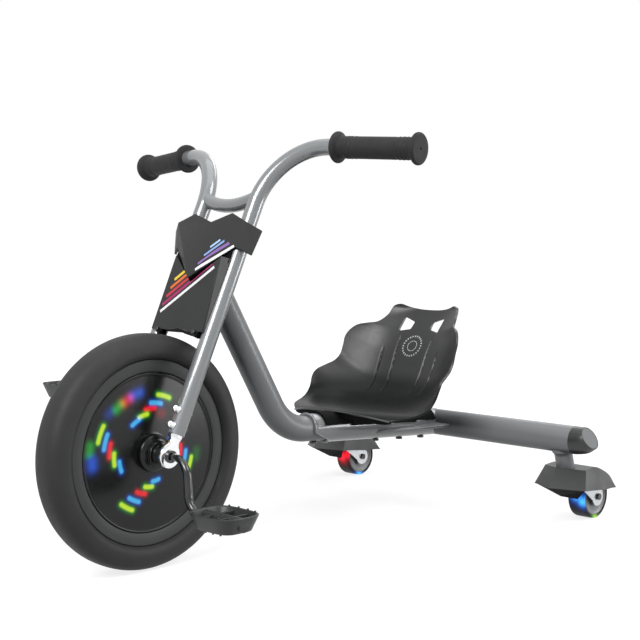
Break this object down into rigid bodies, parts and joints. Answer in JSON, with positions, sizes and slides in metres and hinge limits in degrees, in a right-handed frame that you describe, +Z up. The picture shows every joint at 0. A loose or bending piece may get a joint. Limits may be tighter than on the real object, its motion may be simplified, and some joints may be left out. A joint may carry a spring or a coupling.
{
  "type": "drift trike",
  "caption": "Child's drift trike with a pedalled front wheel, swept handlebar, bucket seat, bent tube frame and raked rear casters.",
  "frame": {"origin": "on the floor, in the middle of the trike's width and length", "axes": "+Z up, -Y forwards, +X to the rider's left"},
  "size_m": [0.611, 0.8624, 0.5661],
  "materials": {
    "tyre_rubber": "satin",
    "rim_plastic": "satin moulded",
    "black_steel": "satin black",
    "gloss_plastic": "gloss moulded",
    "chrome": "polished",
    "satin_plastic": "satin moulded",
    "bar_paint": "gloss silver-grey paint",
    "rubber": "satin",
    "steel": "zinc plated",
    "frame_paint": "gloss grey paint",
    "cap_face_plastic": "matt moulded",
    "seat_plastic": "satin moulded, fine grain",
    "light_plastic": "clear cast"
  },
  "bodies": {
    "frame": {"head_tube": "frame_paint", "headset_cup_lower": "black_steel", "headset_cup_upper": "black_steel", "main_tube": "frame_paint", "rear_sleeve": "frame_paint", "cross_tube": "frame_paint", "gusset_left": "frame_paint", "end_cap_left": "gloss_plastic", "end_cap_face_left": "cap_face_plastic", "caster_post_left": "frame_paint", "gusset_right": "frame_paint", "end_cap_right": "gloss_plastic", "end_cap_face_right": "cap_face_plastic", "caster_post_right": "frame_paint", "seat_shell": "seat_plastic", "seat_bracket": "black_steel", "frame_bolt_1": "black_steel", "frame_bolt_2": "black_steel", "frame_bolt_3": "black_steel", "frame_bolt_4": "black_steel"},
    "fork": {"fork_leg_left": "bar_paint", "dropout_left": "chrome", "axle_bushing_left": "black_steel", "grip_left": "rubber", "leg_bolt_left_lower": "chrome", "leg_bolt_left_upper": "chrome", "panel_screw_left": "black_steel", "fork_leg_right": "bar_paint", "dropout_right": "chrome", "axle_bushing_right": "black_steel", "grip_right": "rubber", "leg_bolt_right_lower": "chrome", "leg_bolt_right_upper": "chrome", "panel_screw_right": "black_steel", "crossbar": "bar_paint", "lower_crown": "bar_paint", "upper_crown": "bar_paint", "steerer": "steel", "steerer_nut": "black_steel", "shield_panel": "satin_plastic", "shield_cowl": "satin_plastic"},
    "front_wheel": {"tyre": "tyre_rubber", "wheel_rim": "rim_plastic", "crank": "black_steel", "wheel_cover_left": "gloss_plastic", "axle_collar_left": "chrome", "wheel_cover_right": "gloss_plastic", "axle_collar_right": "chrome"},
    "left_pedal": {"pedal_left": "satin_plastic"},
    "right_pedal": {"pedal_right": "satin_plastic"},
    "left_caster": {"caster_fork_left": "steel", "caster_axle_left": "black_steel", "caster_fender_left": "satin_plastic"},
    "right_caster": {"caster_fork_right": "steel", "caster_axle_right": "black_steel", "caster_fender_right": "satin_plastic"},
    "left_caster_wheel": {"caster_tyre_left": "rubber", "caster_core_left": "light_plastic"},
    "right_caster_wheel": {"caster_tyre_right": "rubber", "caster_core_right": "light_plastic"}
  },
  "joints": [
    {"name": "steering", "type": "hinge", "parent": "frame", "child": "fork", "pos_m": [0, -0.1796, 0.34893], "axis": [0, 0.4179, 0.9085], "range_deg": [-45, 45]},
    {"name": "front_wheel_spin", "type": "hinge", "parent": "fork", "child": "front_wheel", "pos_m": [0, -0.2788, 0.1524], "axis": [1, 0, 0], "continuous": true},
    {"name": "left_pedal_spin", "type": "hinge", "parent": "front_wheel", "child": "left_pedal", "pos_m": [0.159, -0.2788, 0.0874], "axis": [1, 0, 0], "continuous": true},
    {"name": "right_pedal_spin", "type": "hinge", "parent": "front_wheel", "child": "right_pedal", "pos_m": [-0.159, -0.2788, 0.2174], "axis": [1, 0, 0], "continuous": true},
    {"name": "left_caster_swivel", "type": "hinge", "parent": "frame", "child": "left_caster", "pos_m": [0.246, 0.3112, 0.1312], "axis": [0, -0.309, 0.9511], "continuous": true},
    {"name": "right_caster_swivel", "type": "hinge", "parent": "frame", "child": "right_caster", "pos_m": [-0.246, 0.3112, 0.1312], "axis": [0, -0.309, 0.9511], "continuous": true},
    {"name": "left_caster_wheel_spin", "type": "hinge", "parent": "left_caster", "child": "left_caster_wheel", "pos_m": [0.246, 0.3892, 0.034], "axis": [1, 0, 0], "continuous": true},
    {"name": "right_caster_wheel_spin", "type": "hinge", "parent": "right_caster", "child": "right_caster_wheel", "pos_m": [-0.246, 0.3892, 0.034], "axis": [1, 0, 0], "continuous": true}
  ]
}
